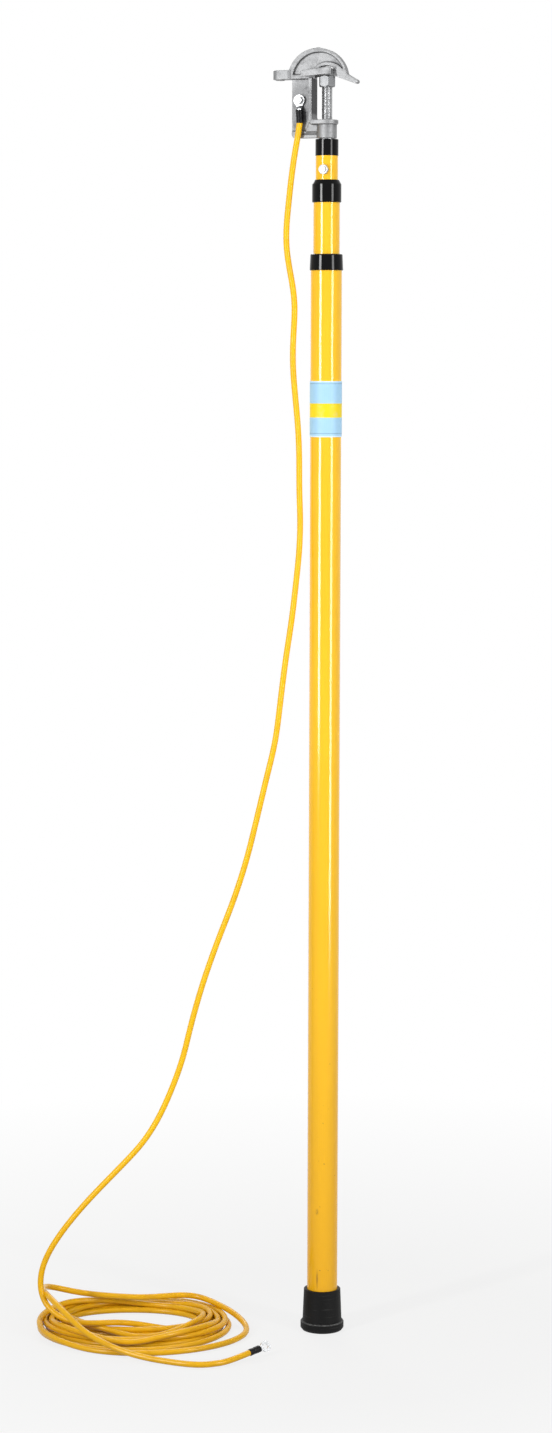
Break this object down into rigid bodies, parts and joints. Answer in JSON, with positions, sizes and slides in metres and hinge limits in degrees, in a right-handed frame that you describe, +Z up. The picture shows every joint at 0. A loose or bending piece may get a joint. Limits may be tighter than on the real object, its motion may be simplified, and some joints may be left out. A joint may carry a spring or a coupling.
{
  "type": "telescopic discharge rod",
  "caption": "Telescopic insulated discharge rod with a screw clamp at its top and a coiled yellow earth cable.",
  "frame": {"origin": "centre of the boot's underside, on the rod's axis", "axes": "+Z up the rod, +X from the clamp's guide leg to its hook, -Y to the cable lug's side"},
  "size_m": [0.4527, 0.2882, 1.8823],
  "materials": {
    "lower_tube_paint": "gloss",
    "lower_collar_plastic": "gloss",
    "boot_rubber": "satin",
    "lower_plug_nylon": "matte",
    "label_film": "satin",
    "mid_tube_paint": "gloss",
    "mid_collar_plastic": "gloss",
    "mid_plug_nylon": "matte",
    "mid_lock_button_brass": "polished",
    "mid_lock_spring_steel": "satin",
    "top_tube_paint": "gloss",
    "top_cap_plastic": "gloss",
    "top_plug_nylon": "matte",
    "top_lock_button_brass": "polished",
    "top_lock_spring_steel": "satin",
    "adapter_steel": "satin",
    "cross_bolt_zinc": "satin",
    "cross_nut_zinc": "satin",
    "screw_zinc": "satin",
    "screw_washer_zinc": "satin",
    "thrust_nut_zinc": "satin",
    "jaw_washer_zinc": "satin",
    "jaw_cast": "cast",
    "casting_aluminium": "cast",
    "lug_bolt_zinc": "satin",
    "lug_washer_zinc": "satin",
    "lug_nut_zinc": "satin",
    "cable_lug_tin": "satin",
    "cable_sleeve_shrink": "satin",
    "cable_pvc": "satin",
    "coil_pvc": "satin",
    "tail_pvc": "satin",
    "end_sleeve_shrink": "satin",
    "end_lug_tin": "satin"
  },
  "bodies": {
    "lower_section": {"lower_tube": "lower_tube_paint", "lower_collar": "lower_collar_plastic", "foot_boot": "boot_rubber", "lower_plug": "lower_plug_nylon", "label_band": "label_film"},
    "mid_section": {"mid_tube": "mid_tube_paint", "mid_collar": "mid_collar_plastic", "mid_plug": "mid_plug_nylon", "mid_lock_spring": "mid_lock_spring_steel"},
    "mid_button": {"mid_lock_button": "mid_lock_button_brass"},
    "top_section": {"top_tube": "top_tube_paint", "top_cap": "top_cap_plastic", "top_plug": "top_plug_nylon", "top_lock_spring": "top_lock_spring_steel", "screw_adapter": "adapter_steel", "cross_bolt": "cross_bolt_zinc", "cross_nut": "cross_nut_zinc", "clamp_screw": "screw_zinc", "screw_washer": "screw_washer_zinc", "thrust_nut": "thrust_nut_zinc", "jaw_washer": "jaw_washer_zinc"},
    "top_button": {"top_lock_button": "top_lock_button_brass"},
    "jaw": {"moving_jaw": "jaw_cast"},
    "clamp": {"clamp_casting": "casting_aluminium", "lug_bolt": "lug_bolt_zinc", "lug_washer": "lug_washer_zinc", "lug_nut": "lug_nut_zinc", "cable_lug": "cable_lug_tin", "cable_sleeve": "cable_sleeve_shrink", "earth_cable": "cable_pvc", "cable_coil": "coil_pvc", "cable_tail": "tail_pvc", "end_sleeve": "end_sleeve_shrink", "end_lug": "end_lug_tin"}
  },
  "joints": [
    {"name": "mid_slide", "type": "slide", "parent": "lower_section", "child": "mid_section", "axis": [0, 0, 1], "range_m": [0, 1.35]},
    {"name": "top_slide", "type": "slide", "parent": "mid_section", "child": "top_section", "axis": [0, 0, 1], "range_m": [0, 1.4]},
    {"name": "mid_lock", "type": "slide", "parent": "mid_section", "child": "mid_button", "axis": [0, -1, 0], "range_m": [0, 0.003], "stiffness_N_per_m": 500, "springref_m": -0.004, "deforming": ["mid_lock_spring"]},
    {"name": "top_lock", "type": "slide", "parent": "top_section", "child": "top_button", "axis": [0, -1, 0], "range_m": [0, 0.003], "stiffness_N_per_m": 500, "springref_m": -0.004, "deforming": ["top_lock_spring"]},
    {"name": "screw_turn", "type": "hinge", "parent": "top_section", "child": "jaw", "pos_m": [0, 0, 1.8417], "axis": [0, 0, 1], "range_deg": [0, 8275]},
    {"name": "jaw_travel", "type": "slide", "parent": "jaw", "child": "clamp", "axis": [0, 0, 1], "range_m": [0, 0.046]}
  ],
  "couplings": [
    {"joint": "jaw_travel", "follows": "screw_turn", "m_per_rad": 0.00031831}
  ]
}
